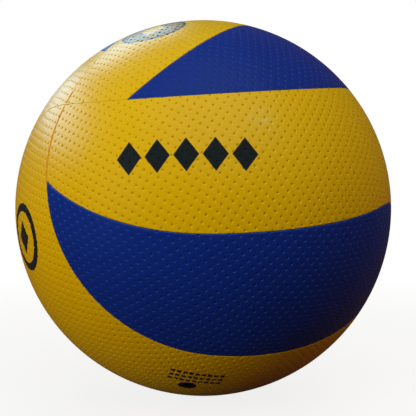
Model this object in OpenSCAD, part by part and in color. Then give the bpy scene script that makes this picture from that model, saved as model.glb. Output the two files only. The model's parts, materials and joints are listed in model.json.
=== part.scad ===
// Size 5 volleyball of glued construction.
// Eight cover panels, four yellow and four blue, swirl between two opposite poles.
// Each has its own foam backing, on a rubber carcass over a wound bladder.
// The ball's middle is the origin and +Z is up.
// The valve is low at the front, where -Y is the front.

/* [Ball] */
// Outside diameter over the cover
ball_d = 210; // [190:1:220]

/* [Layers] */
// Thickness of the cover sheet
cover_t = 1.2; // [0.8:0.1:2]
// Thickness of the foam under each cover panel
foam_t = 1.8; // [1:0.1:3]
// Thickness of the rubber carcass
carcass_t = 0.5; // [0.4:0.1:1.2]
// Thickness of the nylon winding
winding_t = 0.4; // [0.3:0.1:1]
// Wall of the bladder
bladder_t = 0.6; // [0.4:0.1:1.2]

/* [Seams] */
// Gap between neighbouring panels at the bottom of a seam
seam_gap = 0.2; // [0.1:0.05:0.4]
// Width and depth of the bevel along each cover panel's edge
edge_bevel = 0.5; // [0.3:0.1:0.7]
// How far the foam stays back from the edge of its cover panel
foam_setback = 0.3; // [0.1:0.1:1]

/* [Swirl] */
// Angle at the pole between a seam and the middle of its blue panel
pole_heading = 70; // [66:1:74]
// Angular radius of the seam's first arc, which starts at the pole
pole_bend = 53; // [50:1:56]
// Angle on the ball that the first arc covers
pole_reach = 87; // [84:1:90]
// Angular radius of the second arc, over the ball's waist
waist_bend = 98; // [94:1:102]
// Angle on the ball that the second arc covers
waist_reach = 53; // [50:1:56]
// Angular radius of the third arc, which ends at the blue panel's tip
tip_bend = 121; // [117:1:125]

/* [Stance] */
// Tilt of the panels' pole from upright
pole_tilt = 61.8; // [0:0.1:90]
// Direction in which the pole leans, from +X
pole_turn = 224.6; // [0:0.1:360]
// Turn of the panels about their pole
panel_spin = 65.1; // [0:0.1:90]

/* [Valve] */
// Diameter of the valve's neck, which shows in the cover
neck_d = 8.5; // [7:0.1:11]
// Gap around the neck in the layers that it passes through
neck_clearance = 0.15; // [0.05:0.05:0.4]
// How far the neck's end lies below the cover's surface
neck_recess = 0.3; // [0:0.1:0.8]
// Bevel around the neck's end
neck_bevel = 0.4; // [0.2:0.1:0.8]
// Diameter of the flange that is bonded inside the bladder
flange_d = 28; // [20:1:40]
// Thickness of the flange at its rim
flange_rim_t = 0.6; // [0.4:0.1:1.5]
// Thickness of the flange at the hub
flange_root_t = 2; // [1.6:0.1:4]
// Diameter of the hub just under the flange
hub_d = 11.5; // [10:0.5:16]
// Diameter of the hub at its inner end
hub_end_d = 9; // [8:0.5:10]
// Diameter of the needle's passage
needle_d = 2.2; // [2:0.1:2.6]
// Width and depth of the lead-in at the passage's mouth
lead_in = 0.5; // [0.3:0.1:1]
// Length of the passage from the neck's end to the plug's chamber
mouth_l = 5; // [3:0.5:8]
// Diameter of the self-sealing plug
plug_d = 5.6; // [5:0.1:6.4]
// Length of the self-sealing plug
plug_l = 12; // [8:0.5:16]
// Bevel at both ends of the plug
plug_bevel = 0.4; // [0.2:0.1:0.8]
// Gap around the plug and at its outer end
plug_clearance = 0.05; // [0.02:0.01:0.15]
// Thickness of the lip that keeps the plug in
lip_t = 2; // [1:0.5:4]
// Diameter of the opening in the lip
lip_d = 3.4; // [3:0.1:4.5]

/* [Hidden] */
panel_pairs = 4;
numbers = [for (i = [1:panel_pairs]) i];
$fn = 96;
// Facets of the sphere that the thin flange is cut with
fine_fn = 240;
// Spin, tilt and heading of the layers' spheres in the frame of a panel whose middle is
// on +X, so that the spheres' own poles and joining line lie off that panel
yellow_turn = [-114, 40, -60];
blue_turn = [180, 0, 0];

// Angle from one blue panel's middle to the next, around the pole
quarter = 360 / panel_pairs;
// One length by which cutting solids overrun what they cut
overrun = 1;

// Radii of the layers, from the outside in
ball_r = ball_d / 2;
foam_r = ball_r - cover_t;
carcass_r = foam_r - foam_t;
winding_r = carcass_r - carcass_t;
bladder_r = winding_r - winding_t;
air_r = bladder_r - bladder_t;
// Radius of the panel cutters' outer faces, whose flats then clear the ball
cutter_r_share = 1.35;

// Heights along the valve's axis, from the ball's middle
neck_end = ball_r - neck_recess;
chamber_top = neck_end - mouth_l;
chamber_bottom = chamber_top - plug_l - plug_clearance;
hub_end = chamber_bottom - lip_t;
// Number of the yellow panel that the valve goes through, and the hole around its neck
valve_panel = 1;
hole_d = neck_d + 2 * neck_clearance;

// Rows of points along a panel, between its tips and from tip to pole
long_rows = 32;
pole_rows = 5;
// Where a tip is looked for, as angles from the pole, and in how many halvings
tip_low = 6;
tip_high = 45;
halvings = 24;
// Half of the span over which a seam's slope is taken
slope_span = 0.2;
// Smallest angle from the pole at which an azimuth is worked out
least_polar = 0.01;

// The seam is a chain of three circular arcs on the unit sphere.
// A seam starts at the pole and bends to its left, whose circle's middle is there.
function turned(v, axis, angle) =
    v * cos(angle) + cross(axis, v) * sin(angle) + axis * (axis * v) * (1 - cos(angle));
function arc_middle(at, along, bend) = at * cos(bend) + cross(at, along) * sin(bend);

pole = [0, 0, 1];
heading = [cos(pole_heading), -sin(pole_heading), 0];
middle_1 = arc_middle(pole, heading, pole_bend);
sweep_1 = pole_reach / sin(pole_bend);
joint_1 = turned(pole, middle_1, sweep_1);
middle_2 = arc_middle(joint_1, turned(heading, middle_1, sweep_1), waist_bend);
sweep_2 = waist_reach / sin(waist_bend);
joint_2 = turned(joint_1, middle_2, sweep_2);
heading_2 = turned(turned(heading, middle_1, sweep_1), middle_2, sweep_2);
middle_3 = arc_middle(joint_2, heading_2, tip_bend);

function polar(v) = acos(v.z);
function azimuth(v) = atan2(v.y, v.x);

// Azimuth at which the circle about a middle crosses a given angle from the pole
function circle_azimuth(t, middle, bend) =
    let (far = (cos(bend) - cos(t) * middle.z) / (sin(t) * sin(polar(middle))))
    azimuth(middle) - acos(max(-1, min(1, far)));

// Azimuth of a seam's long sweep, counted from the middle of its blue panel
function long_edge(t) =
    let (at = max(t, least_polar))
    at < polar(joint_1) ? circle_azimuth(at, middle_1, pole_bend)
    : at < polar(joint_2) ? circle_azimuth(at, middle_2, waist_bend)
    : circle_azimuth(at, middle_3, tip_bend);

// The blue panel's other edge is the same sweep, turned half round its middle
function short_edge(t) = -long_edge(180 - t);

// Change of azimuth that moves a point of the seam sideways by a distance
function sideways(t, distance) =
    let (slope = (long_edge(t + slope_span) - long_edge(t - slope_span)) / (2 * slope_span))
    asin(min(1, distance * norm([1, sin(t) * slope]) / (ball_r * sin(t))));

// How far the two edges that meet at a tip still are from crossing
function edge_gap(t, inset, side) =
    long_edge(t) + sideways(t, inset) - short_edge(t) - side * sideways(180 - t, inset);
function crossing(inset, side, low = tip_low, high = tip_high, left = halvings) =
    let (half = (low + high) / 2)
    left == 0 ? half
    : edge_gap(half, inset, side) > 0 ? crossing(inset, side, half, high, left - 1)
    : crossing(inset, side, low, half, left - 1);

// A blue panel runs from tip to tip, and its middle is at azimuth 0
function blue_start(inset) = [crossing(inset, -1), 0];
function blue_polars(inset) =
    let (tip = crossing(inset, -1))
    [for (j = [1:long_rows - 1]) tip + (180 - 2 * tip) * j / long_rows];
function blue_left(t, inset) = long_edge(t) + sideways(t, inset);

// A yellow panel runs from pole to pole, beside a blue one whose middle is half a
// quarter back, so its own middle is at azimuth 0 too
function yellow_start(inset) = [asin(inset * sqrt(2) / ball_r), long_edge(0)];
function yellow_polars(inset) =
    let (start = yellow_start(inset)[0], corner = crossing(inset, 1))
    concat(
        [for (j = [1:pole_rows]) start + (corner - start) * j / pole_rows],
        [for (j = [1:long_rows]) corner + (180 - 2 * corner) * j / long_rows],
        [for (j = [1:pole_rows - 1]) 180 - corner + (corner - start) * j / pole_rows]);
function yellow_left(t, inset, corner) =
    (t < corner ? long_edge(t) + sideways(t, inset)
    : short_edge(t) + sideways(180 - t, inset)) - quarter / 2;

// A panel's outline as angles: a start, the right edge, an end, the left edge back
function blue_outline(inset) =
    let (start = blue_start(inset), polars = blue_polars(inset), last = len(polars) - 1,
        azimuth_at = long_edge(start[0]) + sideways(start[0], inset))
    concat(
        [[start[0], azimuth_at]],
        [for (t = polars) [t, -blue_left(180 - t, inset)]],
        [[180 - start[0], -azimuth_at]],
        [for (j = [last:-1:0]) [polars[j], blue_left(polars[j], inset)]]);
function yellow_outline(inset) =
    let (start = yellow_start(inset), polars = yellow_polars(inset), last = len(polars) - 1,
        corner = crossing(inset, 1))
    concat(
        [start],
        [for (t = polars) [t, -yellow_left(180 - t, inset, corner)]],
        [[180 - start[0], -start[1]]],
        [for (j = [last:-1:0]) [polars[j], yellow_left(polars[j], inset, corner)]]);

function on_ball(angles, r) =
    r * [sin(angles[0]) * cos(angles[1]), sin(angles[0]) * sin(angles[1]), cos(angles[0])];

// A solid from the ball's middle out through rings of points, closed by an outer cap
module fan(rings) {
    count = len(rings[0]);
    layers = len(rings);
    top = 1 + count * (layers - 1);
    function at(layer, i) = 1 + count * layer + i % count;
    root = [for (i = [0:count - 1]) [0, at(0, i), at(0, i + 1)]];
    walls = [for (layer = [0:1:layers - 2], i = [0:count - 1]) each [
        [at(layer, i), at(layer + 1, i), at(layer + 1, i + 1)],
        [at(layer, i), at(layer + 1, i + 1), at(layer, i + 1)]]];
    cap = [for (i = [1:count / 2 - 1]) each [
        [top + i - 1, top + (count - i + 1) % count, top + i],
        [top + i, top + (count - i + 1) % count, top + count - i]]];
    cap_end = [[top + count / 2 - 1, top + count / 2 + 1, top + count / 2]];
    cap_all = concat([for (f = cap) if (f[0] != f[1]) f], cap_end);
    polyhedron(concat([[0, 0, 0]], [for (r = rings) each r]), concat(root, walls, cap_all));
}

module layer_sphere(r, turn)
    rotate([0, turn[1], turn[2]]) rotate([0, 0, turn[0]]) sphere(r = r);

// A layer of the ball between two radii, with the valve's hole where it is asked for
module layer(outer, inner, turn, hole = false) {
    difference() {
        layer_sphere(outer, turn);
        layer_sphere(inner, turn);
        if (hole) rotate([0, 90, 0]) cylinder(d = hole_d, h = outer + overrun);
    }
}

// The panels' frame: their pole is upright and the first blue panel is at azimuth 0
module stance() rotate([0, pole_tilt, pole_turn]) rotate([0, 0, panel_spin]) children();
// Frames of one panel, whose middle is then on +X
module at_blue(number) stance() rotate([0, 0, quarter * (number - 1)]) children();
module at_yellow(number) stance() rotate([0, 0, quarter * (number - 1.5)]) children();
// The valve is in the middle of its yellow panel, and points outwards along +Z
module at_valve() at_yellow(valve_panel) rotate([0, 90, 0]) children();

function ring(outline, r) = [for (angles = outline) on_ball(angles, r)];

// Cover cutters have an upright wall below and a bevelled edge at the surface
function cover_rings(low, high) = [
    ring(low, ball_r - edge_bevel),
    ring(high, ball_r + overrun),
    ring(high, ball_r * cutter_r_share)];
cover_inset = seam_gap / 2;
bevel_inset = cover_inset + edge_bevel + overrun;
foam_inset = cover_inset + foam_setback;

// A panel is cut out of a layer of the ball, which is given as the children
module panel(rings) {
    intersection() {
        children();
        fan(rings);
    }
}

module cover_yellow(number) {
    rings = cover_rings(yellow_outline(cover_inset), yellow_outline(bevel_inset));
    color([0.83, 0.68, 0.02]) at_yellow(number) panel(rings)
        layer(ball_r, foam_r, yellow_turn, number == valve_panel);
}

module cover_blue(number) {
    rings = cover_rings(blue_outline(cover_inset), blue_outline(bevel_inset));
    color([0.07, 0.17, 0.47]) at_blue(number) panel(rings)
        layer(ball_r, foam_r, blue_turn);
}

module foam_yellow(number) {
    rings = [ring(yellow_outline(foam_inset), ball_r * cutter_r_share)];
    color([0.93, 0.91, 0.84]) at_yellow(number) panel(rings)
        layer(foam_r, carcass_r, yellow_turn, number == valve_panel);
}

module foam_blue(number) {
    rings = [ring(blue_outline(foam_inset), ball_r * cutter_r_share)];
    color([0.93, 0.91, 0.84]) at_blue(number) panel(rings)
        layer(foam_r, carcass_r, blue_turn);
}

// An inner layer goes all round, with its hole at the valve
module whole_layer(outer, inner)
    at_yellow(valve_panel) layer(outer, inner, yellow_turn, true);

module carcass() color([0.62, 0.5, 0.33]) whole_layer(carcass_r, winding_r);

module winding() color([0.9, 0.9, 0.87]) whole_layer(winding_r, bladder_r);

module bladder() color([0.12, 0.12, 0.13]) whole_layer(bladder_r, air_r);

// The neck, its flange against the bladder's inside and the hub that holds the plug
module valve_housing() {
    flange_drop = air_r - sqrt(air_r * air_r - flange_d * flange_d / 4);
    flange_low = air_r - flange_drop - flange_rim_t;
    color([0.1, 0.1, 0.11]) at_valve() difference() {
        union() {
            intersection() {
                sphere(r = air_r, $fn = fine_fn);
                rotate_extrude() polygon([
                    [0, hub_end], [hub_end_d / 2, hub_end],
                    [hub_d / 2, air_r - flange_root_t],
                    [flange_d / 2, flange_low], [flange_d / 2, ball_r], [0, ball_r]]);
            }
            rotate_extrude() polygon([
                [0, chamber_bottom], [neck_d / 2, chamber_bottom],
                [neck_d / 2, neck_end - neck_bevel], [neck_d / 2 - neck_bevel, neck_end],
                [0, neck_end]]);
        }
        translate([0, 0, hub_end - overrun])
            cylinder(d = lip_d, h = chamber_bottom - hub_end + 2 * overrun);
        translate([0, 0, chamber_bottom])
            cylinder(d = plug_d + 2 * plug_clearance, h = chamber_top - chamber_bottom);
        translate([0, 0, chamber_top - overrun])
            cylinder(d = needle_d, h = mouth_l + 2 * overrun);
        rotate_extrude() polygon([
            [0, neck_end - lead_in - needle_d / 2], [needle_d / 2, neck_end - lead_in],
            [needle_d / 2 + lead_in + overrun, neck_end + overrun], [0, neck_end + overrun]]);
    }
}

module valve_plug() {
    color([0.45, 0.14, 0.12]) at_valve() rotate_extrude() polygon([
        [needle_d / 2, chamber_bottom], [plug_d / 2 - plug_bevel, chamber_bottom],
        [plug_d / 2, chamber_bottom + plug_bevel],
        [plug_d / 2, chamber_bottom + plug_l - plug_bevel],
        [plug_d / 2 - plug_bevel, chamber_bottom + plug_l],
        [needle_d / 2, chamber_bottom + plug_l]]);
}

for (i = numbers) cover_yellow(i);
for (i = numbers) cover_blue(i);
for (i = numbers) foam_yellow(i);
for (i = numbers) foam_blue(i);
carcass();
winding();
bladder();
valve_housing();
valve_plug();
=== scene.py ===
import json
import math

import bpy
import numpy as np
from mathutils import Matrix, Vector


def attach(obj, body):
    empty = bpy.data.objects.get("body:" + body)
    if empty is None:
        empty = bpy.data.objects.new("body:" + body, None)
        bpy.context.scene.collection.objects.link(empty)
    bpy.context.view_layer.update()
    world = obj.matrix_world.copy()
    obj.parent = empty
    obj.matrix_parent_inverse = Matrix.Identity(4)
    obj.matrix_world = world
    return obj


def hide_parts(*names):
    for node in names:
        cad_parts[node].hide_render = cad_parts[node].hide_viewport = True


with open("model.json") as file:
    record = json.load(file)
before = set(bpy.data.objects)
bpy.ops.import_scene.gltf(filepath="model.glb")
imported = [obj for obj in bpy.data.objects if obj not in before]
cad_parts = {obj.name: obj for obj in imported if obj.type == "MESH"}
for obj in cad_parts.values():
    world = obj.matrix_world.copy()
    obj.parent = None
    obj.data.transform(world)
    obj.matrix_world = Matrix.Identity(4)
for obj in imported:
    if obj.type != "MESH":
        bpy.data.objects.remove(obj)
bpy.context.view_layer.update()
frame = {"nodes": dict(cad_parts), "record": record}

mm = 0.001

# The ball as the CAD model has it: size, stance of the panels' pole, number of panel pairs
ball = {
    "radius": 105 * mm,
    "poleTilt": 61.8,
    "poleTurn": 224.6,
    "panelSpin": 65.1,
    "pairs": 4,
    # the number that a panel would have if its middle were at azimuth 0
    "numberAtZero": {"blue": 1, "yellow": 1.5},
}
quarter = 360 / ball["pairs"]

# The seam is three arcs in a chain: heading at the pole, angular radii, angles covered
seam = {
    "heading": 70,
    "bends": (53, 98, 121),
    "reaches": (87, 53),
    "leastPolar": 0.01,  # an azimuth has no meaning nearer to the pole
    "slopeSpan": 0.2,  # half the span over which the slope is taken
    "tipBetween": (6.0, 45.0),  # where a tip is looked for, from the pole
    "tipWithin": 1e-6,
}


def activate(piece):
    bpy.ops.object.select_all(action="DESELECT")
    piece.select_set(True)
    bpy.context.view_layer.objects.active = piece


def editing(on):
    bpy.ops.object.mode_set(mode="EDIT" if on else "OBJECT")


def applyModifier(piece, kind, **settings):
    modifier = piece.modifiers.new(kind.title(), kind)
    for name, value in settings.items():
        setattr(modifier, name, value)
    activate(piece)
    bpy.ops.object.modifier_apply(modifier=modifier.name)


def getPoints(piece):
    points = np.empty(len(piece.data.vertices) * 3)
    piece.data.vertices.foreach_get("co", points)
    return points.reshape(-1, 3)


def setPoints(piece, points):
    piece.data.vertices.foreach_set("co", np.ascontiguousarray(points).ravel())
    piece.data.update()


def onSphere(polar, azimuth, radius):  # angles in degrees, as arrays
    polar, azimuth = np.radians(polar), np.radians(azimuth)
    flat = np.sin(polar)
    around = [flat * np.cos(azimuth), flat * np.sin(azimuth), np.cos(polar)]
    return np.stack(around, -1) * np.expand_dims(radius, -1)


# Seam curve, worked out as the CAD model does it

def seamArcs():
    at = Vector((0, 0, 1))
    heading = math.radians(seam["heading"])
    ahead = Vector((math.cos(heading), -math.sin(heading), 0))
    arcs = []
    for bend, reach in zip(seam["bends"], seam["reaches"] + (0,)):
        bendAngle = math.radians(bend)
        middle = at * math.cos(bendAngle) + at.cross(ahead) * math.sin(bendAngle)
        swing = Matrix.Rotation(math.radians(reach) / math.sin(bendAngle), 3, middle)
        at, ahead = swing @ at, swing @ ahead
        arcs.append({
            "bend": bend,
            "polar": math.degrees(math.acos(middle.z)),
            "azimuth": math.degrees(math.atan2(middle.y, middle.x)),
            "until": math.degrees(math.acos(at.z)) if reach else 180,
        })
    return arcs


arcs = seamArcs()


def longEdge(polar):  # azimuth of the seam's long sweep, from the blue panel's middle
    polar = np.maximum(np.asarray(polar, float), seam["leastPolar"])
    azimuth = np.zeros_like(polar)
    start = 0
    for arc in arcs:
        here = (polar >= start) & (polar <= arc["until"])
        tilt, bend = np.radians(arc["polar"]), np.radians(arc["bend"])
        t = np.radians(polar)
        far = (np.cos(bend) - np.cos(t) * np.cos(tilt)) / (np.sin(t) * np.sin(tilt))
        crossing = arc["azimuth"] - np.degrees(np.arccos(np.clip(far, -1, 1)))
        azimuth = np.where(here, crossing, azimuth)
        start = arc["until"]
    return azimuth


def sideways(polar, distance):  # azimuth that moves a point of the seam sideways
    step = seam["slopeSpan"]
    slope = (longEdge(polar + step) - longEdge(polar - step)) / (2 * step)
    sine = np.sin(np.radians(polar))
    shift = distance * np.sqrt(1 + (sine * slope) ** 2) / (ball["radius"] * sine)
    return np.degrees(np.arcsin(np.clip(shift, -1, 1)))


def tipPolar(inset, side):  # where the two edges meet: side -1 for blue, 1 for yellow
    low, high = seam["tipBetween"]
    while high - low > seam["tipWithin"]:
        half = (low + high) / 2
        gap = longEdge(half) + sideways(half, inset) + longEdge(180 - half)
        gap -= side * sideways(180 - half, inset)
        low, high = (half, high) if gap > 0 else (low, half)
    return half


def lowEdge(kind, polar, inset=0.0):
    polar = np.asarray(polar, float)
    swept = longEdge(polar) + sideways(polar, inset)
    if kind == "blue":
        return swept
    turnedBack = -longEdge(180 - polar) + sideways(180 - polar, inset)
    corner = tipPolar(inset, 1)
    return np.where(polar < corner, swept, turnedBack) - quarter / 2


def panelRows(kind, inset):  # polar angles of a panel's rows, and its two edges there
    longRows, poleRows = edge["longRows"], edge["poleRows"]
    if kind == "blue":
        tip = tipPolar(inset, -1)
        polar = np.linspace(tip, 180 - tip, longRows + 1)
    else:
        corner = tipPolar(inset, 1)
        start = math.degrees(math.asin(inset * math.sqrt(2) / ball["radius"]))
        polar = np.concatenate([
            np.linspace(start, corner, poleRows + 1)[:-1],
            np.linspace(corner, 180 - corner, longRows + 1)[:-1],
            np.linspace(180 - corner, 180 - start, poleRows + 1)])
    inner = polar[1:-1]
    endAzimuth = longEdge(0) if kind == "yellow" else lowEdge(kind, polar[0], inset)
    low = np.concatenate([[endAzimuth], lowEdge(kind, inner, inset), [-endAzimuth]])
    high = np.concatenate([[endAzimuth], -lowEdge(kind, 180 - inner, inset), [-endAzimuth]])
    return polar, low, high


# Cover panels: a pressed sheet, wrapped on the ball and cut to the panel's outline

pit = {
    "pitch": 3.65 * mm,
    "sides": 8,
    "flat": 0.88 * mm,  # radius at which the surface starts to dip
    "rings": ((0.74, 0.03), (0.52, 0.19), (0.3, 0.33), (0.14, 0.37)),  # radius and depth in mm
}

sheet = {
    "tilt": {"yellow": -22, "blue": -35},  # of the great circle that a sheet lies along
    "halfLength": 182 * mm,
    "halfWidth": 52 * mm,
    "spareCells": 2,  # rows of cells kept past the panel's outline
    "merge": 0.01 * mm,  # joins neighbouring cells
    "smoothAngle": 50,
    # angle of the pits' rows in each panel's sheet
    "rowAngle": {
        "yellow": (49, 50, 48, 47),
        "blue": (42, 34, 39, 45),
    },
}

edge = {
    # depth below the surface and distance from the seam's middle, in mm, from the foam out
    "yellow": ((1.2, 0.03), (0.2, 0.03), (0.1, 0.08), (0.04, 0.16), (0.01, 0.26), (-0.02, 0.5),
               (-4, 0.55)),
    "blue": ((1.2, 0.03), (0.4, 0.04), (0.28, 0.1), (0.18, 0.2), (0.09, 0.36), (0.03, 0.55),
             (-0.02, 0.85), (-4, 0.9)),
    # the cutter's columns, and its rows between the tips and from a tip to the pole
    "columns": 12,
    "longRows": 72,
    "poleRows": 14,
}
pointSize = 0.001 * mm  # points as near as this are one


def pitCell():
    half = pit["pitch"] / 2
    bpy.ops.object.select_all(action="DESELECT")
    bpy.ops.mesh.primitive_circle_add(vertices=pit["sides"], radius=half, fill_type="NGON")
    cell = bpy.context.object
    editing(True)
    bpy.ops.mesh.inset(thickness=(half - pit["flat"]) * math.cos(math.pi / pit["sides"]))
    lastRadius, lastDepth = pit["flat"], 0
    for radius, depth in pit["rings"]:
        radius, depth = radius * mm, depth * mm
        bpy.ops.mesh.extrude_region_move(
            TRANSFORM_OT_translate={"value": (0, 0, lastDepth - depth)})
        share = radius / lastRadius
        bpy.ops.transform.resize(value=(share, share, 1))
        lastRadius, lastDepth = radius, depth
    editing(False)
    points = getPoints(cell)
    outer = np.hypot(points[:, 0], points[:, 1]) > (half + pit["flat"]) / 2
    diagonal = outer & (np.abs(points[:, 0]) > half / 2) & (np.abs(points[:, 1]) > half / 2)
    points[diagonal, :2] *= math.sqrt(2)  # the octagon's corners go out to the cell's
    setPoints(cell, points)
    return cell


def wrapped(points, tilt):  # x runs along a tilted great circle, y across it, z outwards
    angle = math.radians(tilt)
    out = np.array([1, 0, 0])
    ahead = np.array([0, math.sin(angle), math.cos(angle)])
    aside = np.cross(out, ahead)
    along, across = points[:, 0:1] / ball["radius"], points[:, 1:2] / ball["radius"]
    direction = np.cos(across) * (np.cos(along) * out + np.sin(along) * ahead)
    return (ball["radius"] + points[:, 2:3]) * (direction + np.sin(across) * aside)


def insidePanel(points, kind):
    unit = points / np.linalg.norm(points, axis=1, keepdims=True)
    polar = np.degrees(np.arccos(unit[:, 2]))
    azimuth = np.degrees(np.arctan2(unit[:, 1], unit[:, 0]))
    return (azimuth > lowEdge(kind, polar)) & (azimuth < -lowEdge(kind, 180 - polar))


def cellsOnPanel(kind, columns, rows, rotation):  # True for each cell that is kept
    x = (np.arange(columns) - (columns - 1) / 2) * pit["pitch"]
    y = (np.arange(rows) - (rows - 1) / 2) * pit["pitch"]
    gridX, gridY = np.meshgrid(x, y)
    middles = np.stack([gridX.ravel(), gridY.ravel()], -1) @ rotation
    onFront = np.abs(middles[:, 0]) < sheet["halfLength"]
    onFront &= np.abs(middles[:, 1]) < sheet["halfWidth"]
    middles = np.column_stack([middles, np.zeros(len(middles))])
    kept = insidePanel(wrapped(middles, sheet["tilt"][kind]), kind) & onFront
    kept = kept.reshape(rows, columns)
    for _ in range(sheet["spareCells"]):
        wide = kept.copy()
        wide[:, 1:] |= kept[:, :-1]
        wide[:, :-1] |= kept[:, 1:]
        tall = wide.copy()
        tall[1:] |= wide[:-1]
        tall[:-1] |= wide[1:]
        kept = tall
    return kept


def keepCells(piece, kept, faces):  # each cell has that many faces
    activate(piece)
    editing(True)
    bpy.ops.mesh.select_mode(type="FACE")
    bpy.ops.mesh.select_all(action="DESELECT")
    editing(False)
    piece.data.polygons.foreach_set("select", np.repeat(~kept.ravel(), faces))
    editing(True)
    bpy.ops.mesh.delete(type="FACE")
    bpy.ops.mesh.select_all(action="SELECT")
    bpy.ops.mesh.remove_doubles(threshold=sheet["merge"])
    editing(False)


def closeAtMiddle(piece):  # the border is drawn in to the ball's middle
    editing(True)
    bpy.ops.mesh.select_mode(type="EDGE")
    bpy.ops.mesh.select_all(action="DESELECT")
    bpy.ops.mesh.select_non_manifold(
        extend=False, use_wire=False, use_multi_face=False, use_non_contiguous=False,
        use_verts=False)
    bpy.ops.mesh.extrude_edges_move()
    bpy.ops.transform.resize(value=(0, 0, 0), center_override=(0, 0, 0))
    bpy.ops.mesh.select_all(action="SELECT")
    bpy.ops.mesh.remove_doubles(threshold=pointSize)
    bpy.ops.mesh.normals_make_consistent(inside=False)
    editing(False)


def pressedSheet(kind, rowAngle):
    piece = pitCell()
    faces = len(piece.data.polygons)
    turn = math.radians(rowAngle)
    cosine, sine = abs(math.cos(turn)), abs(math.sin(turn))
    length, width = sheet["halfLength"], sheet["halfWidth"]
    columns = math.ceil(2 * (length * cosine + width * sine) / pit["pitch"])
    rows = math.ceil(2 * (length * sine + width * cosine) / pit["pitch"])
    for count, step in ((columns, (pit["pitch"], 0, 0)), (rows, (0, pit["pitch"], 0))):
        applyModifier(piece, "ARRAY", count=count, use_relative_offset=False,
                      use_constant_offset=True, constant_offset_displace=step)
    rotation = np.array([[math.cos(turn), math.sin(turn)], [-math.sin(turn), math.cos(turn)]])
    keepCells(piece, cellsOnPanel(kind, columns, rows, rotation), faces)
    points = getPoints(piece)
    points[:, 0] -= (columns - 1) / 2 * pit["pitch"]
    points[:, 1] -= (rows - 1) / 2 * pit["pitch"]
    points[:, :2] = points[:, :2] @ rotation
    setPoints(piece, wrapped(points, sheet["tilt"][kind]))
    closeAtMiddle(piece)
    return piece


def panelCutter(kind):
    depths = [ball["radius"] - depth * mm for depth, inset in edge[kind]]
    rings = [panelRows(kind, inset * mm) for depth, inset in edge[kind]]
    columns, rows = edge["columns"], len(rings[0][0]) - 1
    bpy.ops.object.select_all(action="DESELECT")
    bpy.ops.mesh.primitive_grid_add(x_subdivisions=columns, y_subdivisions=rows, size=1)
    cutter = bpy.context.object
    editing(True)
    for _ in depths[1:]:
        bpy.ops.mesh.extrude_region_move(TRANSFORM_OT_translate={"value": (0, 0, 1)})
    editing(False)
    points = getPoints(cutter)
    column = np.round((points[:, 0] + 0.5) * columns)
    row = np.round((points[:, 1] + 0.5) * rows).astype(int)
    layer = np.round(points[:, 2]).astype(int)
    placed = np.zeros_like(points)
    for i, (polar, low, high) in enumerate(rings):
        here = layer == i
        j = row[here]
        azimuth = low[j] + (high[j] - low[j]) * column[here] / columns
        placed[here] = onSphere(polar[j], azimuth, np.full(len(j), depths[i]))
    setPoints(cutter, placed)
    editing(True)
    bpy.ops.mesh.select_all(action="SELECT")
    bpy.ops.mesh.remove_doubles(threshold=pointSize)
    bpy.ops.mesh.normals_make_consistent(inside=False)
    editing(False)
    return cutter


def stance(turn):  # from a panel's own frame to the ball's
    return (Matrix.Rotation(math.radians(ball["poleTurn"]), 4, "Z")
            @ Matrix.Rotation(math.radians(ball["poleTilt"]), 4, "Y")
            @ Matrix.Rotation(math.radians(ball["panelSpin"] + turn), 4, "Z"))


hole = {
    "panel": 1,
    "sides": 64,
    "bottom": 98 * mm,
    # radius of the hole and height from the ball's surface, in mm, up past its rounded rim
    "profile": ((4.4, -0.3), (4.42, -0.08), (4.5, 0.01), (4.6, 3)),
}


def holeCutter():
    bpy.ops.object.select_all(action="DESELECT")
    bpy.ops.mesh.primitive_circle_add(
        vertices=hole["sides"], radius=hole["profile"][0][0] * mm, fill_type="NGON",
        location=(0, 0, hole["bottom"]))
    cutter = bpy.context.object
    bpy.ops.object.transform_apply()
    editing(True)
    lastRadius, lastHeight = hole["profile"][0][0] * mm, hole["bottom"]
    for radius, height in hole["profile"]:
        radius, height = radius * mm, ball["radius"] + height * mm
        bpy.ops.mesh.extrude_region_move(
            TRANSFORM_OT_translate={"value": (0, 0, height - lastHeight)})
        bpy.ops.transform.resize(value=(radius / lastRadius, radius / lastRadius, 1))
        lastRadius, lastHeight = radius, height
    bpy.ops.mesh.select_all(action="SELECT")
    bpy.ops.mesh.normals_make_consistent(inside=False)
    editing(False)
    cutter.data.transform(Matrix.Rotation(math.radians(90), 4, "Y"))
    return cutter


def cut(piece, cutter, operation):
    applyModifier(piece, "BOOLEAN", operation=operation, object=cutter, solver="MANIFOLD")
    bpy.data.objects.remove(cutter)


def coverPanel(kind, number, material):
    piece = pressedSheet(kind, sheet["rowAngle"][kind][number - 1])
    piece.name = "leather_" + kind + "_" + str(number)
    cut(piece, panelCutter(kind), "INTERSECT")
    if kind == "yellow" and number == hole["panel"]:
        cut(piece, holeCutter(), "DIFFERENCE")
    piece.data.transform(stance(quarter * (number - ball["numberAtZero"][kind])))
    activate(piece)
    bpy.ops.object.shade_smooth_by_angle(angle=math.radians(sheet["smoothAngle"]))
    piece.data.materials.clear()
    piece.data.materials.append(material)
    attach(piece, "root")
    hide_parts("cover_" + kind + "_" + str(number))
    return piece


# Materials

def linear(hexColour):  # from sRGB
    values = [int(hexColour[i:i + 2], 16) / 255 for i in (1, 3, 5)]
    values = [v / 12.92 if v <= 0.04045 else ((v + 0.055) / 1.055) ** 2.4 for v in values]
    return (*values, 1)


def addNode(tree, kind, inputs=(), **settings):
    node = tree.nodes.new("ShaderNode" + kind)
    for name, value in settings.items():
        setattr(node, name, value)
    for key, value in inputs.items() if isinstance(inputs, dict) else enumerate(inputs):
        if isinstance(value, bpy.types.Node):
            value = value.outputs[0]
        if isinstance(value, bpy.types.NodeSocket):
            tree.links.new(node.inputs[key], value)
        elif value is not None:
            node.inputs[key].default_value = value
    return node


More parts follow.
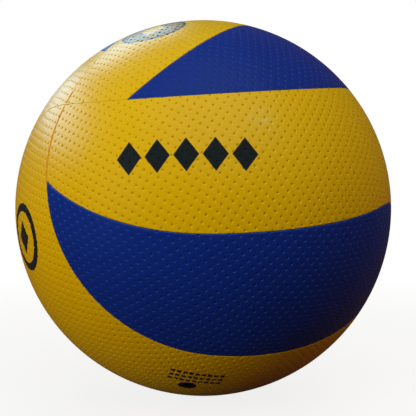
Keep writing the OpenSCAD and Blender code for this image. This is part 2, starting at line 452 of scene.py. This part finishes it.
def newMaterial(name):
    material = bpy.data.materials.new(name)
    material.use_nodes = True
    material.node_tree.nodes.clear()
    return material, material.node_tree


# Printed ornaments: the place of each on the ball and its size in mm
prints = {
    "ink": "#18222a",
    "lozengeRow": {"azimuth": -94, "elevation": 12.4, "turn": 2, "count": 5,
                   "pitch": 12.4, "width": 11, "height": 15},
    "ringed": {"azimuth": -149, "elevation": -8, "turn": 0, "outer": 17, "inner": 13,
               "width": 14, "height": 17},
    "disc": {"azimuth": -119, "elevation": 60, "turn": 10, "outer": 17, "inner": 15.6,
             "width": 14, "height": 20, "hatch": 1.7, "line": 1.1},
    "lines": {"azimuth": -93, "elevation": -50.5, "turn": -16, "count": 3, "pitch": 4,
              "dashes": 9, "dashPitch": 3, "dash": 2.2, "thickness": 2.1},
    "valveHoleShade": 4.56,  # radius out to which the wall of the valve's hole is painted dark: painted shade
    "blur": 0.05,
}


def valvePlace():
    turn = quarter * (hole["panel"] - ball["numberAtZero"]["yellow"])
    out = stance(turn) @ Vector((1, 0, 0))
    return {"azimuth": math.degrees(math.atan2(out.y, out.x)),
            "elevation": math.degrees(math.asin(out.z)), "turn": 0}


def printPlane(tree, position, place):  # x and y of a point in mm, from the print's middle
    azimuth, elevation = math.radians(place["azimuth"]), math.radians(place["elevation"])
    out = Vector((math.cos(elevation) * math.cos(azimuth),
                  math.cos(elevation) * math.sin(azimuth), math.sin(elevation)))
    right = Vector((-math.sin(azimuth), math.cos(azimuth), 0))
    right.rotate(Matrix.Rotation(math.radians(place["turn"]), 3, out))
    up = out.cross(right)
    plane = [addNode(tree, "VectorMath", (position, axis / mm), operation="DOT_PRODUCT")
             .outputs["Value"] for axis in (right, up, out)]
    front = addNode(tree, "Math", (plane[2], 0), operation="GREATER_THAN")
    return plane[0], plane[1], front


def lozenge(tree, x, y, width, height):  # over 0 inside, about the mm to its edge
    across = addNode(tree, "Math", (x, 2 / width), operation="MULTIPLY")
    across = addNode(tree, "Math", (across,), operation="ABSOLUTE")
    along = addNode(tree, "Math", (y, 2 / height), operation="MULTIPLY")
    along = addNode(tree, "Math", (along,), operation="ABSOLUTE")
    total = addNode(tree, "Math", (across, along), operation="ADD")
    far = addNode(tree, "Math", (1, total), operation="SUBTRACT")
    return addNode(tree, "Math", (far, min(width, height) / 2), operation="MULTIPLY")


def circle(tree, x, y, radius):  # over 0 inside, the mm to its edge
    flat = addNode(tree, "CombineXYZ", (x, y, 0))
    length = addNode(tree, "VectorMath", (flat,), operation="LENGTH").outputs["Value"]
    return addNode(tree, "Math", (radius, length), operation="SUBTRACT")


# A place along a line of equal shapes, from the nearest shape's middle, and the room that
# is left up to the line's end
def repeated(tree, value, pitch, count):
    moved = addNode(tree, "Math", (value, (count % 2) * pitch / 2), operation="ADD")
    moved = addNode(tree, "Math", (moved, pitch), operation="FLOORED_MODULO")
    moved = addNode(tree, "Math", (moved, pitch / 2), operation="SUBTRACT")
    size = addNode(tree, "Math", (value,), operation="ABSOLUTE")
    room = addNode(tree, "Math", (pitch * count / 2, size), operation="SUBTRACT")
    return moved, room


def lozengeRow(tree, position):
    place = prints["lozengeRow"]
    x, y, front = printPlane(tree, position, place)
    x, room = repeated(tree, x, place["pitch"], place["count"])
    shape = lozenge(tree, x, y, place["width"], place["height"])
    return addNode(tree, "Math", (shape, room), operation="MINIMUM"), front


def ringedLozenge(tree, position):
    place = prints["ringed"]
    x, y, front = printPlane(tree, position, place)
    hollow = addNode(tree, "Math", (circle(tree, x, y, place["inner"]), -1),
                     operation="MULTIPLY")
    whole = circle(tree, x, y, place["outer"])
    ring = addNode(tree, "Math", (whole, hollow), operation="MINIMUM")
    shape = lozenge(tree, x, y, place["width"], place["height"])
    return addNode(tree, "Math", (ring, shape), operation="MAXIMUM"), front


def hatchedDisc(tree, position):  # hatched around a bare lozenge
    place = prints["disc"]
    x, y, front = printPlane(tree, position, place)
    hollow = addNode(tree, "Math", (lozenge(tree, x, y, place["width"], place["height"]), -1),
                     operation="MULTIPLY")
    count = 2 * math.ceil(place["outer"] / place["hatch"])
    lineUp = repeated(tree, y, place["hatch"], count)[0]
    lineUp = addNode(tree, "Math", (lineUp,), operation="ABSOLUTE")
    lineUp = addNode(tree, "Math", (place["line"] / 2, lineUp), operation="SUBTRACT")
    rim = addNode(tree, "Math", (circle(tree, x, y, place["inner"]), -1), operation="MULTIPLY")
    inside = addNode(tree, "Math", (lineUp, hollow), operation="MINIMUM")
    inside = addNode(tree, "Math", (inside, rim), operation="MAXIMUM")
    whole = circle(tree, x, y, place["outer"])
    return addNode(tree, "Math", (whole, inside), operation="MINIMUM"), front


def dashedLines(tree, position):
    place = prints["lines"]
    x, y, front = printPlane(tree, position, place)
    y, roomAcross = repeated(tree, y, place["pitch"], place["count"])
    x, roomAlong = repeated(tree, x, place["dashPitch"], place["dashes"])
    across = addNode(tree, "Math", (y,), operation="ABSOLUTE")
    across = addNode(tree, "Math", (place["thickness"] / 2, across), operation="SUBTRACT")
    along = addNode(tree, "Math", (x,), operation="ABSOLUTE")
    along = addNode(tree, "Math", (place["dash"] / 2, along), operation="SUBTRACT")
    room = addNode(tree, "Math", (roomAcross, roomAlong), operation="MINIMUM")
    shape = addNode(tree, "Math", (across, along), operation="MINIMUM")
    return addNode(tree, "Math", (shape, room), operation="MINIMUM"), front


# the wall of the valve's hole, painted in the ink's dark colour: painted shade
def valveHoleShade(tree, position):
    x, y, front = printPlane(tree, position, valvePlace())
    return circle(tree, x, y, prints["valveHoleShade"]), front


def printMask(tree, position):  # 1 where there is ink, and on the valve hole's wall, which is painted dark as painted shade
    total = 0
    for ornament in (lozengeRow, ringedLozenge, hatchedDisc, dashedLines, valveHoleShade):
        shape, front = ornament(tree, position)
        shape = addNode(tree, "MapRange", {
            "Value": shape, "From Min": -prints["blur"], "From Max": prints["blur"]})
        shape = addNode(tree, "Math", (shape, front), operation="MULTIPLY")
        total = addNode(tree, "Math", (total, shape), operation="MAXIMUM")
    return total


# Synthetic leather: polyurethane skin on microfibre, pressed with pits by a hot roller.
# A satin skin with a fine grain; the pits and the seams are painted darker with depth, painted
# shade with some grime, and the walls of the pits and the rims of the seams paler, a painted
# highlight
leather = {
    "yellow": {"colour": "#d8b000", "pale": "#deb806", "wall": "#dab000", "shadeAndGrime": "#b46400",
               "shadeAndGrimeShare": 0.55, "roughness": 0.33},
    "blue": {"colour": "#0b288e", "pale": "#0e3099", "wall": "#1846b4", "shadeAndGrime": "#010a34",
             "shadeAndGrimeShare": 0.85, "roughness": 0.33},
    "roughnessSpread": 0.05,
    "pitRoughness": 0.7,  # grime leaves the pits matt
    "ior": 1.46,
    "specular": 0.3,  # under the usual 0.5, as the pressed skin has no lacquer
    # depths in mm between which the painted highlight on a pit's wall and then the painted
    # shade, with some grime, of its floor set in; the seams' rims and grooves get them too
    "wallDepth": (0.02, 0.1),
    "shadeAndGrimeDepth": (0.2, 0.34),
    "patch": 38,  # mm across the soft patches of lighter and darker skin
    "grain": 0.55,  # mm, coarser than the real 0.2 so that it still shows
    "grainDepth": 0.012,
}

# Seams between yellow panels painted darker along a line: painted shade of their grooves
shadedSeam = {
    # which of the four at the pole, distance of the line's middle from the pole and its
    # half length in mm
    "lines": ((0, 19.4, 19.6), (2, 4.5, 4.5)),
    "colour": "#d09600",
    "share": 0.9,
    "halfWidth": 0.62,
    "blur": 0.1,
    "fade": 1.5,  # mm over which an end fades out
}

# Marks of use, and a painted highlight: the place of each on the ball and its size in mm
marks = {
    # pressed into the upper blue panel
    "creases": {"azimuth": -82.6, "elevation": 30, "turn": 62, "radius": 14, "length": 7,
                "width": 1.2, "depth": 0.16},
    # pale streaks on the yellow panel below it: a painted highlight
    "paleHighlight": {"azimuth": -75, "elevation": 21.7, "turn": 20, "radius": 8, "length": 6,
              "width": 3, "colour": "#d9cd8a", "share": 0.4},
    "streaks": (0.45, 0.7),  # values of the noise between which a streak sets in
    "fadeShare": 0.6,  # share of the radius over which a mark fades in
}


def shadedSeamLine(tree, position, turn, distance, halfLength):  # along a seam from the pole
    bend = math.radians(arcs[0]["bend"])
    axis = Vector(onSphere(arcs[0]["polar"], arcs[0]["azimuth"], 1))
    swing = Matrix.Rotation(distance * mm / ball["radius"] / math.sin(bend), 3, axis)
    middle = stance(quarter * turn) @ (swing @ Vector((0, 0, ball["radius"])))
    away = addNode(tree, "VectorMath", (position, middle), operation="DISTANCE").outputs["Value"]
    near = addNode(tree, "MapRange", {
        "Value": away, "From Min": halfLength * mm,
        "From Max": (halfLength - shadedSeam["fade"]) * mm})
    axis = stance(quarter * turn) @ axis
    along = addNode(tree, "VectorMath", (position, axis / mm), operation="DOT_PRODUCT")
    beside = addNode(tree, "Math", (
        along.outputs["Value"], ball["radius"] / mm * math.cos(bend)), operation="SUBTRACT")
    beside = addNode(tree, "Math", (beside,), operation="ABSOLUTE")
    line = addNode(tree, "MapRange", {
        "Value": beside, "From Min": shadedSeam["halfWidth"] + shadedSeam["blur"],
        "From Max": shadedSeam["halfWidth"] - shadedSeam["blur"], "To Max": shadedSeam["share"]})
    return addNode(tree, "Math", (line, near), operation="MULTIPLY")


def markNoise(tree, position, place):  # long streaks, only near one place
    x, y, front = printPlane(tree, position, place)
    along = addNode(tree, "Math", (x, 1 / place["length"]), operation="MULTIPLY")
    across = addNode(tree, "Math", (y, 1 / place["width"]), operation="MULTIPLY")
    flat = addNode(tree, "CombineXYZ", (along, across, 0))
    streaks = addNode(tree, "TexNoise", {"Vector": flat, "Scale": 1, "Detail": 2})
    low, high = marks["streaks"]
    streaks = addNode(tree, "MapRange", {"Value": streaks, "From Min": low, "From Max": high})
    near = addNode(tree, "MapRange", {
        "Value": circle(tree, x, y, place["radius"]),
        "From Max": place["radius"] * marks["fadeShare"]})
    near = addNode(tree, "Math", (near, front), operation="MULTIPLY")
    return addNode(tree, "Math", (streaks, near), operation="MULTIPLY")


def leatherMaterial(kind):
    material, tree = newMaterial("leather_" + kind)
    look = leather[kind]
    position = addNode(tree, "TexCoord").outputs["Object"]
    distance = addNode(tree, "VectorMath", (position,), operation="LENGTH").outputs["Value"]
    distance = addNode(tree, "Math", (distance, 1 / mm), operation="MULTIPLY")
    depth = addNode(tree, "Math", (ball["radius"] / mm, distance), operation="SUBTRACT")
    patches = addNode(tree, "TexNoise", {
        "Vector": position, "Scale": 1 / (leather["patch"] * mm), "Detail": 3})
    colour = addNode(tree, "Mix", {0: patches, 6: linear(look["colour"]),
                                   7: linear(look["pale"])}, data_type="RGBA").outputs[2]
    # pit walls and seam rims painted paler from these depths: a painted highlight of their lit
    # side
    low, high = leather["wallDepth"]
    wall = addNode(tree, "MapRange", {"Value": depth, "From Min": low, "From Max": high})
    colour = addNode(tree, "Mix", {0: wall, 6: colour, 7: linear(look["wall"])},
                     data_type="RGBA").outputs[2]
    # pit floors and seam grooves painted darker with depth: painted shade, with some grime
    low, high = leather["shadeAndGrimeDepth"]
    sunkShade = addNode(tree, "MapRange", {
        "Value": depth, "From Min": low, "From Max": high, "To Max": look["shadeAndGrimeShare"]})
    colour = addNode(tree, "Mix", {0: sunkShade, 6: colour, 7: linear(look["shadeAndGrime"])},
                     data_type="RGBA").outputs[2]
    rough = addNode(tree, "MapRange", {
        "Value": patches, "To Min": look["roughness"] - leather["roughnessSpread"],
        "To Max": look["roughness"] + leather["roughnessSpread"]})
    matt = addNode(tree, "Math", (wall, leather["pitRoughness"]), operation="MULTIPLY")
    rough = addNode(tree, "Math", (rough, matt), operation="MAXIMUM")
    if kind == "yellow":
        # pale streaks painted on the yellow: a painted highlight
        paleHighlight = marks["paleHighlight"]
        mark = markNoise(tree, position, paleHighlight)
        mark = addNode(tree, "Math", (mark, paleHighlight["share"]), operation="MULTIPLY")
        colour = addNode(tree, "Mix", {0: mark, 6: colour, 7: linear(paleHighlight["colour"])},
                         data_type="RGBA").outputs[2]
        # a darker line painted along two seams: painted shade of their grooves
        lines = [shadedSeamLine(tree, position, *line) for line in shadedSeam["lines"]]
        seamShade = addNode(tree, "Math", lines, operation="MAXIMUM")
        colour = addNode(tree, "Mix", {0: seamShade, 6: colour, 7: linear(shadedSeam["colour"])},
                         data_type="RGBA").outputs[2]
        rough = addNode(tree, "Math", (rough, seamShade), operation="MAXIMUM")
        mask = printMask(tree, position)
        colour = addNode(tree, "Mix", {0: mask, 6: colour, 7: linear(prints["ink"])},
                         data_type="RGBA").outputs[2]
    grain = addNode(tree, "TexNoise", {
        "Vector": position, "Scale": 1 / (leather["grain"] * mm), "Detail": 2})
    height = addNode(tree, "Math", (grain, leather["grainDepth"]), operation="MULTIPLY")
    if kind == "blue":
        mark = markNoise(tree, position, marks["creases"])
        mark = addNode(tree, "Math", (mark, marks["creases"]["depth"]), operation="MULTIPLY")
        height = addNode(tree, "Math", (height, mark), operation="SUBTRACT")
    bump = addNode(tree, "Bump", {"Height": height, "Strength": 1, "Distance": mm})
    skin = addNode(tree, "BsdfPrincipled", {
        "Base Color": colour, "Roughness": rough, "Normal": bump, "IOR": leather["ior"],
        "Specular IOR Level": leather["specular"]})
    addNode(tree, "OutputMaterial", (skin,))
    return material


# Inner pieces: they lie under the cover, and each has its own finish

inner = {
    "foam": {"colour": "#efe9d8", "shade": "#d8d0ba", "size": 0.8, "rough": 0.9},
    "carcass_rubber": {"colour": "#a2814f", "shade": "#8b6c40", "size": 6, "rough": 0.75},
    "nylon_thread": {"colour": "#e4e3dc", "shade": "#b9b7ac", "size": 0.7, "rough": 0.55},
    "butyl_rubber": {"colour": "#1d1d20", "shade": "#141416", "size": 4, "rough": 0.6},
    "valve_rubber": {"colour": "#0b0b0c", "shade": "#141312", "size": 0.9, "rough": 0.6},
    "plug_rubber": {"colour": "#7a2a20", "shade": "#5f1f18", "size": 1.5, "rough": 0.6},
}
innerRelief = {
    "strength": 0.4,
    "depth": 0.1 * mm,
    "specular": 0.25,
    "threadScale": 6,  # lays the bands of thread about 1.5 mm apart, so that they show
}


def innerMaterial(slot):
    material, tree = newMaterial(slot)
    look = inner[slot]
    position = addNode(tree, "TexCoord").outputs["Object"]
    scale = 1 / (look["size"] * mm)
    if slot == "foam":  # closed cells
        pattern = addNode(tree, "TexVoronoi", {"Vector": position, "Scale": scale})
    elif slot == "nylon_thread":  # thread laid round and round
        pattern = addNode(tree, "TexWave", {
            "Vector": position, "Scale": scale / innerRelief["threadScale"],
            "Distortion": 2, "Detail": 1},
            bands_direction="DIAGONAL")
    else:
        pattern = addNode(tree, "TexNoise", {"Vector": position, "Scale": scale, "Detail": 4})
    colour = addNode(tree, "Mix", {0: pattern, 6: linear(look["colour"]),
                                   7: linear(look["shade"])}, data_type="RGBA").outputs[2]
    bump = addNode(tree, "Bump", {"Height": pattern, "Strength": innerRelief["strength"],
                                  "Distance": innerRelief["depth"]})
    skin = addNode(tree, "BsdfPrincipled", {
        "Base Color": colour, "Roughness": look["rough"], "Normal": bump,
        "Specular IOR Level": innerRelief["specular"]})
    addNode(tree, "OutputMaterial", (skin,))
    return material


slotOf = {part["node"]: part["material_slot"] for part in frame["record"]["subparts"]}
innerLooks = {slot: innerMaterial(slot) for slot in inner}
for name, node in frame["nodes"].items():
    if slotOf[name] in innerLooks:
        node.data.materials.clear()
        node.data.materials.append(innerLooks[slotOf[name]])
print("inner pieces: materials done")

covers = {kind: leatherMaterial(kind) for kind in ("yellow", "blue")}
for kind in ("yellow", "blue"):
    for number in range(1, ball["pairs"] + 1):
        piece = coverPanel(kind, number, covers[kind])
        print(piece.name, "faces:", len(piece.data.polygons))


# Floor, background, lamps and camera

stage = {
    "floorReach": 3,
    "floorSides": 96,
    "fadeFrom": 0.22,
    "fadeTo": 0.7,
    "floorColour": "#e6e6e6",
    "floorGlow": 0.84,  # share of plain white in what the camera sees of the floor
    "bounceColour": "#4a280a",  # what the ball sees of the floor
    "worldLight": 0.06,
    "worldColour": "#ffc09a",
    "glossShare": 0.02,  # share of the white background that a reflection sees
}
# each lamp's direction from the ball in degrees, its size in metres, power and colour
lamps = {
    # soft lights that the gloss hardly mirrors
    "key": {"azimuth": -80, "elevation": 60, "size": (1.9, 1.9), "power": 16.4,
            "colour": "#ecfff2", "mirrored": False},
    "side": {"azimuth": -137, "elevation": 12, "size": (0.8, 0.8), "power": 13.2,
             "colour": "#fff0d0", "mirrored": False},
    "right": {"azimuth": -15, "elevation": 25, "size": (1.5, 1.5), "power": 5.2,
              "colour": "#ffb870", "mirrored": False},
    "back": {"azimuth": 88, "elevation": 14, "size": (1.5, 1.5), "power": 20,
             "colour": "#fff8f0", "mirrored": False},
    # pale screens that are only mirrored: two give the haze at the upper left, and a faint
    # one is over the front
    "screenLow": {"azimuth": 156, "elevation": 31, "size": (1.8, 0.5), "power": 10.8,
                  "colour": "#b4deff", "lights": False},
    "screenHigh": {"azimuth": 119, "elevation": 47, "size": (0.8, 0.5), "power": 5.5,
                   "colour": "#b8e4ff", "lights": False},
    "screenFront": {"azimuth": -85, "elevation": 50, "size": (1.8, 1.8), "power": 0.1,
                    "colour": "#ffffff", "lights": False},
}
lampDistance = 1.5
camera = {"distance": 361.8 * mm, "view": 37.1, "shift": 0.0115}


def seenShare(tree):  # the rays that see the plain white background
    path = addNode(tree, "LightPath")
    gloss = addNode(tree, "Math", (path.outputs["Is Glossy Ray"], stage["glossShare"]),
                    operation="MULTIPLY")
    direct = addNode(tree, "Math", (path.outputs["Is Camera Ray"], gloss),
                     operation="MAXIMUM")
    return addNode(tree, "Math", (direct, path.outputs["Is Transmission Ray"]),
                   operation="MAXIMUM")


def makeFloor():
    bpy.ops.object.select_all(action="DESELECT")
    bpy.ops.mesh.primitive_circle_add(
        vertices=stage["floorSides"], radius=stage["floorReach"], fill_type="NGON",
        location=(0, 0, -ball["radius"]))
    floor = bpy.context.object
    floor.name = "floor"
    bpy.ops.object.transform_apply()
    material, tree = newMaterial("floor")
    position = addNode(tree, "TexCoord").outputs["Object"]
    distance = addNode(tree, "VectorMath", (position,), operation="LENGTH").outputs["Value"]
    fade = addNode(tree, "MapRange", {
        "Value": distance, "From Min": stage["fadeFrom"], "From Max": stage["fadeTo"]},
        interpolation_type="SMOOTHSTEP")
    lit = addNode(tree, "BsdfDiffuse", {"Color": linear(stage["floorColour"])})
    white = addNode(tree, "Emission", {"Color": (1, 1, 1, 1), "Strength": 1})
    near = addNode(tree, "MixShader", (stage["floorGlow"], lit, white))
    seen = addNode(tree, "MixShader", (fade, near, white))
    unseen = addNode(tree, "BsdfDiffuse", {"Color": linear(stage["bounceColour"])})
    shown = seenShare(tree)
    addNode(tree, "OutputMaterial", (addNode(tree, "MixShader", (shown, unseen, seen)),))
    floor.data.materials.append(material)


def makeWorld():
    world = bpy.data.worlds.new("studio")
    bpy.context.scene.world = world
    world.use_nodes = True
    tree = world.node_tree
    tree.nodes.clear()
    white = addNode(tree, "Background", {"Color": (1, 1, 1, 1), "Strength": 1})
    soft = addNode(tree, "Background", {
        "Color": linear(stage["worldColour"]), "Strength": stage["worldLight"]})
    shown = addNode(tree, "MixShader", (seenShare(tree), soft, white))
    addNode(tree, "OutputWorld", (shown,))


def makeLamps():
    for name, lamp in lamps.items():
        data = bpy.data.lights.new(name, "AREA")
        data.shape = "ELLIPSE"
        data.size, data.size_y = lamp["size"]
        data.energy = lamp["power"]
        data.color = linear(lamp["colour"])[:3]
        item = bpy.data.objects.new(name, data)
        bpy.context.scene.collection.objects.link(item)
        place = Vector(onSphere(90 - lamp["elevation"], lamp["azimuth"], lampDistance))
        item.location = place
        item.rotation_euler = place.to_track_quat("Z", "Y").to_euler()
        item.visible_camera = False
        item.visible_diffuse = lamp.get("lights", True)
        item.visible_glossy = lamp.get("mirrored", True)


def makeCamera():
    data = bpy.data.cameras.new("camera")
    data.angle = math.radians(camera["view"])
    data.shift_x = camera["shift"]
    item = bpy.data.objects.new("camera", data)
    bpy.context.scene.collection.objects.link(item)
    item.location = (0, -camera["distance"], 0)
    item.rotation_euler = (math.radians(90), 0, 0)
    bpy.context.scene.camera = item


makeFloor()
makeWorld()
makeLamps()
makeCamera()
bpy.context.scene.view_settings.view_transform = "Standard"
print("stage: floor, world, lamps and camera done")
